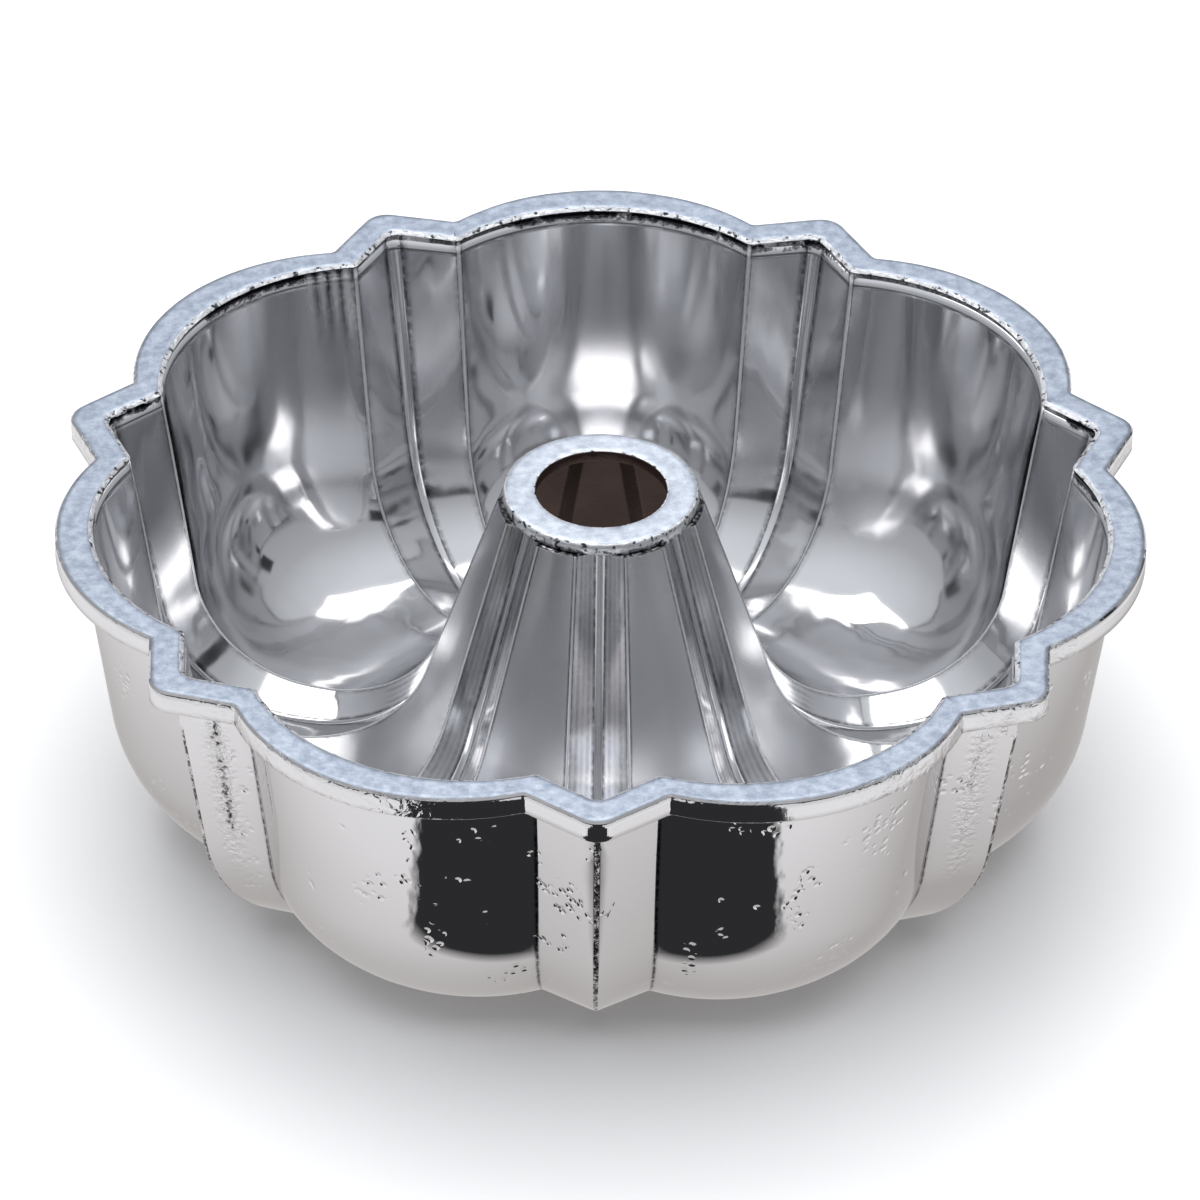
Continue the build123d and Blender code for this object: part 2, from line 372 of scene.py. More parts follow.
cut = add(tree, "ShaderNodeMath", {0: torn.outputs["Fac"], 1: reach.outputs["Value"]}, operation="ADD")
pits = add(tree, "ShaderNodeMapRange", {"Value": cut.outputs["Value"]}, From_Min=1.18, From_Max=1.45)
relief = add(tree, "ShaderNodeBump", {"Height": waves.outputs["Fac"]}, Strength=1.0, Distance=0.20 * MM)
lines = add(
    tree, "ShaderNodeMath", {0: drag.outputs["Fac"], 1: worked.outputs["Result"]},
    operation="MULTIPLY",
)
relief = add(
    tree, "ShaderNodeBump", {"Height": lines.outputs["Value"], "Normal": relief.outputs["Normal"]},
    Strength=1.0, Distance=0.011 * MM,
)
relief = add(
    tree, "ShaderNodeBump", {"Height": pits.outputs["Result"], "Normal": relief.outputs["Normal"]},
    Strength=1.0, Distance=0.35 * MM, invert=True,
)
# Painted shade: the crease mark darkens the corners, both sides of each bead and the edges of each ridge,
# and it also carries the scar's tears.
crease = add(tree, "ShaderNodeAttribute", attribute_name="crease")
broken = add(
    tree, "ShaderNodeMapRange", {"Value": torn.outputs["Fac"]},
    From_Min=0.30, From_Max=0.55, To_Min=0.25,
)
crease_shade_and_scar = add(
    tree, "ShaderNodeMath", {0: crease.outputs["Fac"], 1: broken.outputs["Result"]},
    operation="MULTIPLY",
)
shade_and_tears = add(
    tree, "ShaderNodeMath", {0: crease_shade_and_scar.outputs["Value"], 1: pits.outputs["Result"]},
    operation="MAXIMUM",
)
tint = add(tree, "ShaderNodeMix", {"Factor": shade_and_tears.outputs["Value"]}, data_type="RGBA")
tint.inputs["A"].default_value, tint.inputs["B"].default_value = linear("#DBDBDD"), linear("#2E2E34")
# Painted highlight: this mark makes the middle of each bead whiter and duller, and it also carries the
# scar's scraped metal.
highlight_and_scrape = add(tree, "ShaderNodeAttribute", attribute_name="highlight_and_scrape")
with_highlight = add(
    tree, "ShaderNodeMix", {"Factor": highlight_and_scrape.outputs["Fac"], "A": tint.outputs["Result"]},
    data_type="RGBA",
)
with_highlight.inputs["B"].default_value = linear("#F6F7F8")
haze = add(
    tree, "ShaderNodeMapRange", {"Value": patches.outputs["Fac"]},
    From_Min=0.35, From_Max=0.70, To_Min=0.06, To_Max=0.16,
)
satin = add(tree, "ShaderNodeAttribute", attribute_name="satin")
brushed = add(
    tree, "ShaderNodeMix", {"Factor": satin.outputs["Fac"], "A": haze.outputs["Result"]},
    data_type="FLOAT", B=0.26,
)
rubbed = add(
    tree, "ShaderNodeMix", {"Factor": highlight_and_scrape.outputs["Fac"], "A": brushed.outputs["Result"]},
    data_type="FLOAT", B=0.55,
)
shader = add(
    tree, "ShaderNodeBsdfPrincipled",
    {
        "Base Color": with_highlight.outputs["Result"],
        "Roughness": rubbed.outputs["Result"],
        "Normal": relief.outputs["Normal"],
    },
    Metallic=1.0,
)
add(tree, "ShaderNodeOutputMaterial", {"Surface": shader.outputs["BSDF"]})

# The same metal outside, buffed to a full mirror on a wheel, with a rolling surface, clusters
# of small dents from casting sand, a torn parting line down each keel, two torn flanks, and
# painted shade darkening its corners and a thin band just under the rim.
polished_outside, tree = blank_material("aluminium_buffed")
place = add(tree, "ShaderNodeTexCoord")
rolling = add(
    tree, "ShaderNodeTexNoise", {"Vector": place.outputs["Object"]},
    Scale=1 / (14 * MM), Detail=1.0,
)
clusters = add(
    tree, "ShaderNodeTexNoise", {"Vector": place.outputs["Object"]},
    Scale=1 / (13 * MM), Detail=3.0,
)
struck = add(tree, "ShaderNodeMapRange", {"Value": clusters.outputs["Fac"]}, From_Min=0.57, From_Max=0.62)
grains = add(tree, "ShaderNodeTexVoronoi", {"Vector": place.outputs["Object"]}, Scale=1 / (2.2 * MM))
hollows = add(
    tree, "ShaderNodeMapRange", {"Value": grains.outputs["Distance"]},
    From_Min=0.45, From_Max=0.15,
)
dents = add(
    tree, "ShaderNodeMath", {0: hollows.outputs["Result"], 1: struck.outputs["Result"]},
    operation="MULTIPLY",
)
seam = add(tree, "ShaderNodeAttribute", attribute_name="seam")
torn = add(
    tree, "ShaderNodeTexNoise", {"Vector": place.outputs["Object"]},
    Scale=1 / (1.3 * MM), Detail=3.0,
)
ridge_line = add(
    tree, "ShaderNodeMath", {0: torn.outputs["Fac"], 1: seam.outputs["Fac"]},
    operation="MULTIPLY",
)
relief = add(tree, "ShaderNodeBump", {"Height": rolling.outputs["Fac"]}, Strength=1.0, Distance=0.07 * MM)
relief = add(
    tree, "ShaderNodeBump", {"Height": dents.outputs["Value"], "Normal": relief.outputs["Normal"]},
    Strength=1.0, Distance=0.30 * MM, invert=True,
)
relief = add(
    tree, "ShaderNodeBump", {"Height": ridge_line.outputs["Value"], "Normal": relief.outputs["Normal"]},
    Strength=1.0, Distance=1.3 * MM,
)
# Painted shade in the outer corners of the cusps.
crease = add(tree, "ShaderNodeAttribute", attribute_name="crease")
broken = add(
    tree, "ShaderNodeMapRange", {"Value": torn.outputs["Fac"]},
    From_Min=0.30, From_Max=0.55, To_Min=0.3,
)
crease_shade_and_scar = add(
    tree, "ShaderNodeMath", {0: crease.outputs["Fac"], 1: broken.outputs["Result"]},
    operation="MULTIPLY",
)
scorched = add(
    tree, "ShaderNodeMapRange", {"Value": ridge_line.outputs["Value"]},
    From_Min=0.40, From_Max=0.56,
)
level = add(tree, "ShaderNodeSeparateXYZ", {"Vector": place.outputs["Object"]})
# Painted shade: a thin dark band on the wall just under the flange, broken up by noise.
under_rim = add(
    tree, "ShaderNodeMapRange", {"Value": level.outputs["Z"]},
    From_Min=(TOP - RIM_THICKNESS - 1.1) * MM, From_Max=(TOP - RIM_THICKNESS - 0.5) * MM,
)
under_rim_shade = add(
    tree, "ShaderNodeMath", {0: under_rim.outputs["Result"], 1: broken.outputs["Result"]},
    operation="MULTIPLY",
)
shade_and_tears = add(
    tree, "ShaderNodeMath", {0: crease_shade_and_scar.outputs["Value"], 1: scorched.outputs["Result"]},
    operation="MAXIMUM",
)
shade_and_tears = add(
    tree, "ShaderNodeMath", {0: shade_and_tears.outputs["Value"], 1: under_rim_shade.outputs["Value"]},
    operation="MAXIMUM",
)
tint = add(tree, "ShaderNodeMix", {"Factor": shade_and_tears.outputs["Value"]}, data_type="RGBA")
tint.inputs["A"].default_value, tint.inputs["B"].default_value = linear("#D2D0D0"), linear("#2A2A2E")
shader = add(
    tree, "ShaderNodeBsdfPrincipled",
    {"Base Color": tint.outputs["Result"], "Normal": relief.outputs["Normal"]},
    Metallic=1.0, Roughness=0.04,
)
add(tree, "ShaderNodeOutputMaterial", {"Surface": shader.outputs["BSDF"]})

# Left as it came from the sand mould: dull, brownish and grainy.
as_cast, tree = blank_material("aluminium_as_cast")
place = add(tree, "ShaderNodeTexCoord")
sand = add(
    tree, "ShaderNodeTexNoise", {"Vector": place.outputs["Object"]},
    Scale=1 / (0.9 * MM), Detail=3.0,
)
stain = add(
    tree, "ShaderNodeTexNoise", {"Vector": place.outputs["Object"]},
    Scale=1 / (12 * MM), Detail=2.0,
)
relief = add(tree, "ShaderNodeBump", {"Height": sand.outputs["Fac"]}, Strength=1.0, Distance=0.12 * MM)
tint = add(tree, "ShaderNodeMix", {"Factor": stain.outputs["Fac"]}, data_type="RGBA")
tint.inputs["A"].default_value, tint.inputs["B"].default_value = linear("#4A3A37"), linear("#75635D")
shader = add(
    tree, "ShaderNodeBsdfPrincipled",
    {"Base Color": tint.outputs["Result"], "Normal": relief.outputs["Normal"]},
    Metallic=0.85, Roughness=0.42,
)
add(tree, "ShaderNodeOutputMaterial", {"Surface": shader.outputs["BSDF"]})

inner = bowl_face(0, BEVEL, RING_THICKNESS, CUSP_ROUND, VALLEY_ROUND)
outer = bowl_face(WALL, RIM_THICKNESS - TUCKED, RING_THICKNESS, OUTER_CUSP_ROUND, KEEL_ROUND)
rows = len(inner)
hollow_rows = TUBE_ROWS + 6  # the tube's inside, and where it turns into the trough's underside
slots = np.zeros(2 * rows, int)
slots[rows - 1 :] = 1
slots[rows : rows + hollow_rows] = 2
finishes = [polished_inside, polished_outside, as_cast]
bowl = closed_mesh("pan_bowl", np.concatenate([inner, outer[::-1]]), slots, finishes)

# Where the materials find their marks, as values from 0 to 1 on the grid's points: "crease" is
# painted shade in corners, and also a scar's tears; the bead mark is a painted highlight along
# each bead, and also scraped metal; "satin" is the dull finish on the tube's facets, and "seam"
# is torn metal outside, on the parting lines and on two flanks.


def half_flute(lobe=0.0, cusp=0.0, flank=0.0, ridge=0.0):
    """Values of the columns of half a flute, from the lobe's middle to the ridge's middle."""
    parts = (
        (lobe, LOBE_COLUMNS), (cusp, CUSP_COLUMNS),
        (flank, FLANK_COLUMNS), (ridge, HALF_RIDGE_COLUMNS),
    )
    return np.concatenate([np.ones(columns) * value for value, columns in parts])


def all_flutes(half_values):
    """The values of every column, from those of half a flute."""
    return np.tile(np.concatenate([half_values[:0:-1][1:], half_values]), FLUTES)


# Strengths across the columns. A cusp's round runs from -1 to 1, with its bead at 0: painted
# shade lies on both sides of the bead, along the edges of a ridge and, by the tube, in fine lines.
step = np.linspace(-1, 1, CUSP_COLUMNS)
beside_bead = np.exp(-(((np.abs(step) - 0.78) / 0.20) ** 2))
on_bead = np.exp(-((step / 0.50) ** 2))
in_corner = np.exp(-((step / 0.55) ** 2))
ridge_column = np.arange(HALF_RIDGE_COLUMNS)
valley_edge = 0.8 * (ridge_column < 2)
fine_lines = 0.38 * np.array([0, 1, 0, 0.5, 0, 0.9, 0])
inner_crease = all_flutes(half_flute(cusp=beside_bead, ridge=valley_edge))
tube_crease = all_flutes(half_flute(cusp=beside_bead, flank=fine_lines, ridge=valley_edge))
outer_crease = all_flutes(half_flute(cusp=in_corner))
# A painted highlight along the middle of each bead.
bead_highlight = all_flutes(half_flute(cusp=on_bead))
parting = all_flutes(half_flute(ridge=ridge_column > 1))
facet = all_flutes(half_flute(lobe=1.0))

row = np.arange(rows)[:, None]
nothing = np.zeros((rows, len(parting)))
first_tube_row = WALL_ROWS + HEEL_ROWS + TOE_ROWS // 2

# The two ridges beside the front one are torn down the flank that is nearer to it.
flank_middle, torn_width = 3.2, 1.3  # in columns
off_middle = (np.arange(FLANK_COLUMNS) - flank_middle) / torn_width
half_torn = half_flute(flank=0.95 * np.exp(-(off_middle**2)))
flute_columns = len(parting) // FLUTES
torn_flank = np.zeros((FLUTES, flute_columns))
torn_flank[-1, : len(half_torn) - 2] = half_torn[:0:-1][1:]
torn_flank[0, len(half_torn) - 2 :] = 0.72 * half_torn
torn_down = np.clip((WALL_ROWS + 4 - row) / 7, 0, 1) * (row > 1)

# One scar of upright tears near the mouth of a back lobe, beside its cusp, with scraped metal
# between them.
scarred_flute, scar_start = 4, 28
tears = 1, 0.2, 0.9, 0, 1, 0.3, 0.8  # one column each
scar = np.zeros((FLUTES, flute_columns))
scar[scarred_flute, scar_start : scar_start + len(tears)] = tears
scarred = np.clip((6 - row) / 5, 0, 1) * scar.ravel()
scraped = 0.7 * np.clip((5 - row) / 4, 0, 1) * (np.roll(scar, 1, 1) * (scar < 0.5)).ravel()

creased = np.maximum(np.where(row >= first_tube_row, tube_crease, inner_crease), scarred)
seamed = np.maximum((row > 2) * parting, torn_down * torn_flank.ravel())
marks = {
    "crease": np.concatenate([creased, nothing + outer_crease]),
    "highlight_and_scrape": np.concatenate([np.maximum(bead_highlight, scraped), nothing]),
    "satin": np.concatenate([np.clip((row - first_tube_row + 6) / 10, 0, 1) * facet, nothing]),
    "seam": np.concatenate([nothing, seamed[::-1]]),
}
for name, values in marks.items():
    bowl.data.attributes.new(name, "FLOAT", "POINT").data.foreach_set("value", values.ravel())
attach(bowl, "root")
body_nodes = [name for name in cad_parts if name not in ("rim_flange", "tube_ring")]
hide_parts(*body_nodes)


# ------------------------------------------------------------------------------ rim flange
# The flat flange round the mouth, cast with the bowl. Its top face is ground flat on a belt,
# which leaves it satin, and its edges are broken by hand, so they catch the light.

BAND = 8.6  # ground face in the middle of a lobe
NOTCH_OUT, NOTCH_ASIDE = 7.6, 2.6  # outer notch beyond the cusp, along and across the ridge
CORNER_OUT = 9.2  # outer corner beyond the inner corner of a ridge
EDGE = 0.5  # broken outer edges
NOTCH_ROUND, CORNER_ROUND = 1.5, 6.0  # rounds of the outline's corners
CLEAR = 0.05  # the ragged outline stays this far inside the true one
FINER = 6  # points of the outline to each column of the bowl


def flange_outline():
    """Plan of the flange: an arc along each lobe, and a rounded corner at each ridge."""
    reach = CUSP_MOUTH + NOTCH_OUT
    across = RIDGE_HALF_WIDTH + RIDGE_FLARE * CUSP_MOUTH + NOTCH_ASIDE
    notch_x = reach * np.cos(HALF) + across * np.sin(HALF)
    notch_y = reach * np.sin(HALF) - across * np.cos(HALF)
    middle = MOUTH + BAND
    radius = (notch_y**2 + (middle - notch_x) ** 2) / (2 * (middle - notch_x))
    end = np.arcsin(notch_y / radius)

    def arc(share):
        """Points of the arc at these shares of the way to the notch, in the lobe's axes."""
        turn = share * end
        x = middle - radius + radius * np.cos(turn)
        return np.stack([x, radius * np.sin(turn), TOP + 0 * x], -1)[None]

    corner = (RIDGE_MOUTH + CORNER_OUT) * np.array([[np.cos(HALF), np.sin(HALF), 0]])
    corner[0, 2] = TOP
    return whole_ring(half_scallop(arc, corner, NOTCH_ROUND, CORNER_ROUND))[0]


def plan_normal(ring):
    """Unit plan normals of a closed ring that runs anticlockwise."""
    step = np.roll(ring, -1, 0) - np.roll(ring, 1, 0)
    return unit(np.stack([step[:, 1], -step[:, 0], 0 * step[:, 0]], -1))


def refined(ring, times):
    """The closed ring with each of its chords divided evenly."""
    part = np.arange(times)[None, :, None] / times
    return (ring[:, None] * (1 - part) + np.roll(ring, -1, 0)[:, None] * part).reshape(-1, 3)


def ragged(count, grain, draws):
    """Smooth closed noise from -1 to 1 along count points: random values blurred over grain."""
    raw = np.fft.rfft(draws.standard_normal(count))
    raw *= np.exp(-((np.arange(len(raw)) * grain / count) ** 2) * 8)
    noise = np.fft.irfft(raw, count)
    return (noise / np.abs(noise).max())[:, None]


draws = np.random.default_rng(7)
outline = refined(flange_outline(), FINER)
outward = plan_normal(outline)
outline = outline - CLEAR * outward
mouth = refined(inner[0], FINER)
mouth_out = plan_normal(mouth)
up = np.array([0, 0, 1.0])
count = len(mouth)
# In patches the inner lip is rolled over: lip_in is how far it stands in over the bowl, and
# lip_down how far it hangs down. bevel is the width of its bevel, and nick how much more or
# less of the outer edge is broken away.
patches = np.clip(ragged(count, 120, draws) * 1.6 + 0.25, 0.0, 1.0)
crumbs = ragged(count, 4, draws)
lip_in = 0.12 + 0.22 * patches * np.clip(0.4 + crumbs + 0.4 * ragged(count, 12, draws), 0, 1.3)
lip_down = BEVEL * (0.75 + 0.9 * patches * np.clip(ragged(count, 5, draws) + 0.1, 0, 1))
bevel = 0.90 + 0.15 * ragged(count, 40, draws) + 0.08 * ragged(count, 6, draws)
nick = 0.10 * ragged(count, 30, draws) + 0.05 * ragged(count, 7, draws)
below = refined(outer[0], FINER) - TUCKED * up - 0.5 * mouth_out
inner_edge = mouth + BEVEL * up + bevel * mouth_out
outer_edge = outline - (EDGE + nick) * outward
share = np.linspace(0, 1, 7)[1:-1, None, None]  # rows across the ground face

# Rows round the section: up the lip, over its bevel, across the ground face, down the outer
# edge and back under the flange to the bowl.
flange_rows = np.concatenate([
    (mouth - 0.7 * up + 0.4 * mouth_out)[None],
    (mouth + (BEVEL - lip_down) * up + (0.1 - lip_in) * mouth_out)[None],
    (mouth + (BEVEL - 0.62) * up - lip_in * mouth_out)[None],
    (mouth + (BEVEL - 0.55) * up + (0.08 - lip_in) * mouth_out)[None],
    (inner_edge - 0.05 * up - 0.06 * mouth_out)[None],
    inner_edge[None], inner_edge + (outer_edge - inner_edge) * share, outer_edge[None],
    (outline - 0.05 * up - (EDGE + nick) * 0.9 * outward)[None],
    (outline - (EDGE - 0.05) * up - 0.05 * outward)[None],
    (outline - EDGE * up)[None],
    (outline - (0.33 * RIM_THICKNESS) * up)[None],
    (outline - (0.67 * RIM_THICKNESS) * up)[None],
    (outline - (RIM_THICKNESS - EDGE) * up)[None],
    (outline - RIM_THICKNESS * up - EDGE * outward)[None], below[None],
])

# Ground flat on a belt: satin and bluish, with fine lines one way, small lighter blotches and
# hardly a reflection. The ring was ground on finer grit, so it is a little lighter.
ground_faces = []
for name, darker, lighter in (
    ("aluminium_belt_ground", "#87909F", "#AFB7C3"),
    ("aluminium_fine_belt_ground", "#A2A9B5", "#C9CFD7"),
):
    ground, tree = blank_material(name)
    place = add(tree, "ShaderNodeTexCoord")
    belt = add(
        tree, "ShaderNodeMapping", {"Vector": place.outputs["Object"]},
        Rotation=(0, 0, 0.6), Scale=(0.12, 1, 1),
    )
    grit = add(
        tree, "ShaderNodeTexNoise", {"Vector": belt.outputs["Vector"]},
        Scale=1 / (0.8 * MM), Detail=3.0,
    )
    heat = add(
        tree, "ShaderNodeTexNoise", {"Vector": place.outputs["Object"]},
        Scale=1 / (2.6 * MM), Detail=6.0, Roughness=0.7,
    )
    blotch = add(tree, "ShaderNodeMapRange", {"Value": heat.outputs["Fac"]}, From_Min=0.36, From_Max=0.66)
    relief = add(
        tree, "ShaderNodeBump", {"Height": grit.outputs["Fac"]},
        Strength=1.0, Distance=0.03 * MM,
    )
    tint = add(tree, "ShaderNodeMix", {"Factor": blotch.outputs["Result"]}, data_type="RGBA")
    tint.inputs["A"].default_value, tint.inputs["B"].default_value = linear(darker), linear(lighter)
    shader = add(
        tree, "ShaderNodeBsdfPrincipled",
        {"Base Color": tint.outputs["Result"], "Normal": relief.outputs["Normal"]},
        Metallic=1.0, Roughness=0.40,
    )
    add(tree, "ShaderNodeOutputMaterial", {"Surface": shader.outputs["BSDF"]})
    ground_faces.append(ground)

# The flange's edges, filed and buffed by hand: bright, with curling tool marks.
filed, tree = blank_material("aluminium_filed")
place = add(tree, "ShaderNodeTexCoord")
curls = add(
    tree, "ShaderNodeTexNoise", {"Vector": place.outputs["Object"]},
    Scale=1 / (3.2 * MM), Detail=2.0, Distortion=1.5,
)
regions = add(
    tree, "ShaderNodeTexNoise", {"Vector": place.outputs["Object"]},
    Scale=1 / (28 * MM), Detail=1.0,
)
strong = add(
    tree, "ShaderNodeMapRange", {"Value": regions.outputs["Fac"]},
    From_Min=0.42, From_Max=0.60, To_Min=0.08,
)
tooled = add(
    tree, "ShaderNodeMath", {0: curls.outputs["Fac"], 1: strong.outputs["Result"]},
    operation="MULTIPLY",
)
relief = add(
    tree, "ShaderNodeBump", {"Height": tooled.outputs["Value"]},
    Strength=1.0, Distance=0.55 * MM,
)
shader = add(
    tree, "ShaderNodeBsdfPrincipled", {"Normal": relief.outputs["Normal"]},
    Metallic=1.0, Roughness=0.08,
)
shader.inputs["Base Color"].default_value = linear("#D2D0D0")
add(tree, "ShaderNodeOutputMaterial", {"Surface": shader.outputs["BSDF"]})

# The broken inner edges: raw, white and crumbly.
broken_edge, tree = blank_material("aluminium_broken_edge")
place = add(tree, "ShaderNodeTexCoord")
chips = add(
    tree, "ShaderNodeTexNoise", {"Vector": place.outputs["Object"]},
    Scale=1 / (1.4 * MM), Detail=3.0,
)
dirt = add(
    tree, "ShaderNodeMapRange", {"Value": chips.outputs["Fac"]},
    From_Min=0.36, From_Max=0.44, To_Min=1.0, To_Max=0.0,
)
relief = add(tree, "ShaderNodeBump", {"Height": chips.outputs["Fac"]}, Strength=1.0, Distance=0.4 * MM)
tint = add(tree, "ShaderNodeMix", {"Factor": dirt.outputs["Result"]}, data_type="RGBA")
tint.inputs["A"].default_value, tint.inputs["B"].default_value = linear("#F7F8FA"), linear("#4A4C52")
shader = add(
    tree, "ShaderNodeBsdfPrincipled",
    {"Base Color": tint.outputs["Result"], "Normal": relief.outputs["Normal"]},
    Metallic=1.0, Roughness=0.45,
)
add(tree, "ShaderNodeOutputMaterial", {"Surface": shader.outputs["BSDF"]})

row_slots = np.ones(len(flange_rows), int)
row_slots[1:5] = 2  # the inner lip and its bevel
row_slots[5:11] = 0  # the ground face
finishes = [ground_faces[0], filed, broken_edge]
flange = closed_mesh("pan_rim_flange", flange_rows, row_slots, finishes)
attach(flange, "root")
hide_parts("rim_flange")


# ------------------------------------------------------------------------------ tube ring
# The flat ring on top of the centre tube, cast with the bowl and ground level with the rim. Its
# hole is drilled. Its outer edge is chipped, and hangs over the tube in small drips of metal.

RING = FACET + FACET_RUN * RING_THICKNESS - 1.1  # radius, set in from the tube's facets
BORE = 15.1  # radius of the hole
COUNT = 1080  # points round the ring
turn = np.linspace(0, 2 * np.pi, COUNT, endpoint=False)[:, None]
radial = np.concatenate([np.cos(turn), np.sin(turn), 0 * turn], 1)
# In patches the outer edge is broken: chip is how far in, sag how far down the metal hangs and
# drip how far that stands out. bore_chip is the same as chip, at the hole.
patches = np.clip(ragged(COUNT, 110, draws) * 1.8 + 0.2, 0, 1)
chip = 0.18 + 0.12 * ragged(COUNT, 30, draws) + patches * 0.42 * np.clip(ragged(COUNT, 4, draws), 0, 1)
sag = 3.2 * np.clip(ragged(COUNT, 5, draws) - 0.1, 0, 1)
sag = patches * (sag + 0.2 * np.clip(ragged(COUNT, 3, draws), 0, 1))
drip = np.clip(0.9 * sag, 0, 0.5) + FACET_RUN * sag
bore_chip = 0.08 * ragged(COUNT, 14, draws) + 0.05 * ragged(COUNT, 5, draws)


def ring_row(radius, depth):
    """A circle of points of that radius at that depth under the rim's plane."""
    return (radius * radial + up * (TOP - depth))[None]


# Rows round the section: up the bore, across the ground face, down the chipped edge, over the
# drips and back under the ring.
ring_rows = np.concatenate([
    ring_row(BORE + 0.2, RING_THICKNESS - 0.1),
    ring_row(BORE, 2.6),
    ring_row(BORE, 0.5),
    ring_row(BORE + 0.05 - 0.6 * bore_chip, 0.15),
    ring_row(BORE + 0.35 + bore_chip, 0.0),
    *(ring_row(radius, 0.0) for radius in (17.0, 18.8, 20.6)),
    ring_row(RING - 0.4 - chip, 0.0),
    ring_row(RING - 0.5 * chip, 0.35),
    ring_row(RING - 0.1 * chip, 1.2),
    ring_row(RING - 0.05, 2.3),
    ring_row(RING - 0.35 + drip, RING_THICKNESS + sag - 0.1),
    ring_row(RING - 1.6 + drip, RING_THICKNESS + 0.6 * sag),
    ring_row(17.5, RING_THICKNESS - 0.1),
])
row_slots = np.ones(len(ring_rows), int)
row_slots[:3] = 3  # the hole's wall
row_slots[3] = row_slots[8:12] = 2  # the broken edges
row_slots[4:8] = 0  # the ground face
finishes = [ground_faces[1], filed, broken_edge, as_cast]
ring = closed_mesh("pan_tube_ring", ring_rows, row_slots, finishes)
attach(ring, "root")
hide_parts("tube_ring")


# ------------------------------------------------------------------------------ camera
# A long lens in front of the pan, looking down into it at a point on its axis. The camera is
# rolled a little about its line of sight.

ELEVATION = np.radians(35.82)
ROLL = np.radians(0.64)
DISTANCE = 1.895  # metres from the point it looks at
AIM_DEPTH = 31.44  # that point lies this far under the rim's plane

camera_data = bpy.data.cameras.new("camera")
camera_data.sensor_width = 36.0
camera_data.lens = 245.9
camera_data.clip_end = 50
camera = bpy.data.objects.new("camera", camera_data)
bpy.context.collection.objects.link(camera)
forward = np.array([0, np.cos(ELEVATION), -np.sin(ELEVATION)])
level_right = np.array([1.0, 0, 0])
level_up = np.cross(level_right, forward)
camera_right = np.cos(ROLL) * level_right + np.sin(ROLL) * level_up
camera_up = np.cos(ROLL) * level_up - np.sin(ROLL) * level_right
pose = np.eye(4)
pose[:3, :3] = np.stack([camera_right, camera_up, -forward], 1)
pose[:3, 3] = np.array([0, 0, (TOP - AIM_DEPTH) * MM]) - DISTANCE * forward
camera.matrix_world = Matrix(pose.tolist())
bpy.context.scene.camera = camera


# ------------------------------------------------------------------------------ floor
# A pale, matt sheet of paper that fills the view and takes the pan's soft shadow. Reflections
# miss it, and see the table card just under it instead.


def level_square(half_width, height):
    """Corners of a level square about the pan's axis, anticlockwise, in metres."""
    signs = (-1, -1), (1, -1), (1, 1), (-1, 1)
    return [(x * half_width, y * half_width, height) for x, y in signs]


floor_mesh = bpy.data.meshes.new("floor")
floor_mesh.from_pydata(level_square(4.0, 0), [], [(0, 1, 2, 3)])
floor = bpy.data.objects.new("floor", floor_mesh)
bpy.context.collection.objects.link(floor)
floor_material, tree = blank_material("floor_paper")
shader = add(tree, "ShaderNodeBsdfPrincipled", Roughness=0.9)
shader.inputs["Base Color"].default_value = linear("#F7F7F7")
shader.inputs["Specular IOR Level"].default_value = 0.0
add(tree, "ShaderNodeOutputMaterial", {"Surface": shader.outputs["BSDF"]})
floor_mesh.materials.append(floor_material)
floor.visible_glossy = False


# ------------------------------------------------------------------------------ room and lights
# A plain room, dark near the horizon and brighter overhead. Behind the pan are a high window,
# cooler sky below it and a faint low window. A large soft light overhead lights the floor and
# matt faces, and isn't reflected.


def set_stops(ramp, stops):
    """Gives a colour ramp these stops, each a place and a colour."""
    for number, (at, colour) in enumerate(stops):
        stop = ramp.elements[number] if number < 2 else ramp.elements.new(at)
        stop.position = at
        stop.color = (*colour, 1)


COOL = np.array([0.965, 0.995, 1.045])  # tint of the room
world = bpy.data.worlds.new("studio")
bpy.context.scene.world = world
world.use_nodes = True
tree = world.node_tree
tree.nodes.clear()
place = add(tree, "ShaderNodeTexCoord")
height = add(
    tree, "ShaderNodeVectorMath", {"Vector": place.outputs["Generated"]},
    operation="DOT_PRODUCT",
)
height.inputs[1].default_value = (-0.10, 0.15, 1.0)  # the room is lighter at the back and left
tone = add(tree, "ShaderNodeValToRGB", {"Fac": height.outputs["Value"]})
levels = [(0.03, 0.09), (0.16, 0.16), (0.26, 0.43), (0.6, 0.52), (0.98, 0.87)]
set_stops(tone.color_ramp, [(at, level * COOL) for at, level in levels])
back = add(tree, "ShaderNodeBackground", {"Color": tone.outputs["Color"]}, Strength=1.0)
add(tree, "ShaderNodeOutputWorld", {"Surface": back.outputs[0]})


def direction(azimuth, elevation):
    """The unit vector towards an azimuth and an elevation in degrees."""
    turn, rise = np.radians(azimuth), np.radians(elevation)
    return np.array([np.cos(turn) * np.cos(rise), np.sin(turn) * np.cos(rise), np.sin(rise)])


